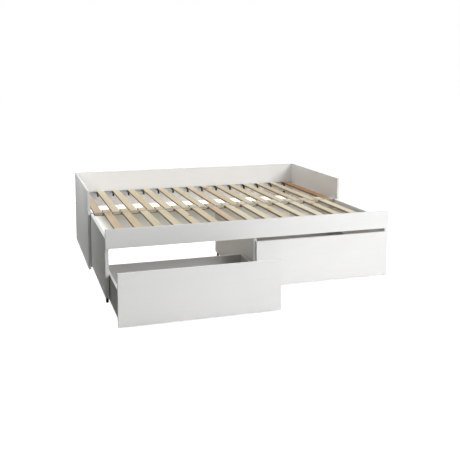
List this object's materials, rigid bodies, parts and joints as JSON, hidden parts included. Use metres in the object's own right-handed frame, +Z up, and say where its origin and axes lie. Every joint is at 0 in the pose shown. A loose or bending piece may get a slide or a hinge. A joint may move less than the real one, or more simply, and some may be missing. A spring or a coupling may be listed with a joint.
{
  "type": "extending day bed frame",
  "caption": "White board day bed with pine slats: the slatted front section slides out to double the width, over floor-rolling drawers.",
  "frame": {"origin": "on the floor at the middle of the bed as it stands at rest, front section out and left drawer partly open", "axes": "+Z up, +X to the right along the bed's length, +Y from the drawers towards the back panel"},
  "size_m": [2.06, 2.297, 0.592],
  "materials": {
    "white_board": "satin white melamine foil on board",
    "drawer_board": "matt pale foil on board",
    "slat_pine": "planed untreated pine with knots",
    "batten_pine": "planed untreated pine, a little darker",
    "grey_steel": "grey powder coat",
    "pale_steel": "pale grey powder coat",
    "black_plastic": "black moulded plastic",
    "wheel_plastic": "dark grey moulded plastic on a steel axle"
  },
  "bodies": {
    "fixed_section": {"left_end_panel": "white_board", "right_end_panel": "white_board", "back_panel": "white_board", "rear_slat_rail": "grey_steel", "cross_bar": "pale_steel", "rear_slat_01": "slat_pine", "rear_slat_02": "slat_pine", "rear_slat_03": "slat_pine", "rear_slat_04": "slat_pine", "rear_slat_05": "slat_pine", "rear_slat_06": "slat_pine", "rear_slat_07": "slat_pine", "rear_slat_08": "slat_pine", "rear_slat_09": "slat_pine", "rear_slat_10": "slat_pine", "rear_slat_11": "slat_pine", "rear_slat_12": "slat_pine", "rear_slat_13": "slat_pine", "rear_slat_14": "slat_pine", "rear_slat_15": "slat_pine"},
    "front_section": {"front_rail": "white_board", "left_upright": "white_board", "centre_partition": "white_board", "right_upright": "white_board", "front_batten": "batten_pine", "rear_batten": "batten_pine", "front_slat_01": "slat_pine", "front_slat_02": "slat_pine", "front_slat_03": "slat_pine", "front_slat_04": "slat_pine", "front_slat_05": "slat_pine", "front_slat_06": "slat_pine", "front_slat_07": "slat_pine", "front_slat_08": "slat_pine", "front_slat_09": "slat_pine", "front_slat_10": "slat_pine", "front_slat_11": "slat_pine", "front_slat_12": "slat_pine", "front_slat_13": "slat_pine", "front_slat_14": "slat_pine", "left_front_foot": "black_plastic", "left_rear_foot": "black_plastic", "centre_front_foot": "black_plastic", "centre_rear_foot": "black_plastic", "right_front_foot": "black_plastic", "right_rear_foot": "black_plastic"},
    "left_drawer": {"left_drawer_front": "white_board", "left_drawer_left_wall": "drawer_board", "left_drawer_right_wall": "drawer_board", "left_drawer_back_wall": "drawer_board", "left_drawer_bottom": "drawer_board"},
    "right_drawer": {"right_drawer_front": "white_board", "right_drawer_left_wall": "drawer_board", "right_drawer_right_wall": "drawer_board", "right_drawer_back_wall": "drawer_board", "right_drawer_bottom": "drawer_board"},
    "left_drawer_front_wheel_pair": {"left_drawer_front_wheels": "wheel_plastic"},
    "left_drawer_rear_wheel_pair": {"left_drawer_rear_wheels": "wheel_plastic"},
    "right_drawer_front_wheel_pair": {"right_drawer_front_wheels": "wheel_plastic"},
    "right_drawer_rear_wheel_pair": {"right_drawer_rear_wheels": "wheel_plastic"}
  },
  "joints": [
    {"name": "front_section_slide", "type": "slide", "parent": "fixed_section", "child": "front_section", "axis": [0, 1, 0], "range_m": [0, 0.806]},
    {"name": "left_drawer_slide", "type": "slide", "parent": "front_section", "child": "left_drawer", "axis": [0, -1, 0], "range_m": [-0.471, 0.15]},
    {"name": "right_drawer_slide", "type": "slide", "parent": "front_section", "child": "right_drawer", "axis": [0, -1, 0], "range_m": [0, 0.621]},
    {"name": "left_drawer_front_wheels_roll", "type": "hinge", "parent": "left_drawer", "child": "left_drawer_front_wheel_pair", "pos_m": [-0.4995, -1.0585, 0.024], "axis": [1, 0, 0], "range_deg": [-1130, 365]},
    {"name": "left_drawer_rear_wheels_roll", "type": "hinge", "parent": "left_drawer", "child": "left_drawer_rear_wheel_pair", "pos_m": [-0.4995, -0.5085, 0.024], "axis": [1, 0, 0], "range_deg": [-1130, 365]},
    {"name": "right_drawer_front_wheels_roll", "type": "hinge", "parent": "right_drawer", "child": "right_drawer_front_wheel_pair", "pos_m": [0.4995, -0.5875, 0.024], "axis": [1, 0, 0], "range_deg": [0, 1490]},
    {"name": "right_drawer_rear_wheels_roll", "type": "hinge", "parent": "right_drawer", "child": "right_drawer_rear_wheel_pair", "pos_m": [0.4995, -0.0375, 0.024], "axis": [1, 0, 0], "range_deg": [0, 1490]}
  ],
  "couplings": [
    {"joint": "left_drawer_front_wheels_roll", "follows": "left_drawer_slide", "rad_per_m": 41.667},
    {"joint": "left_drawer_rear_wheels_roll", "follows": "left_drawer_slide", "rad_per_m": 41.667},
    {"joint": "right_drawer_front_wheels_roll", "follows": "right_drawer_slide", "rad_per_m": 41.667},
    {"joint": "right_drawer_rear_wheels_roll", "follows": "right_drawer_slide", "rad_per_m": 41.667}
  ]
}
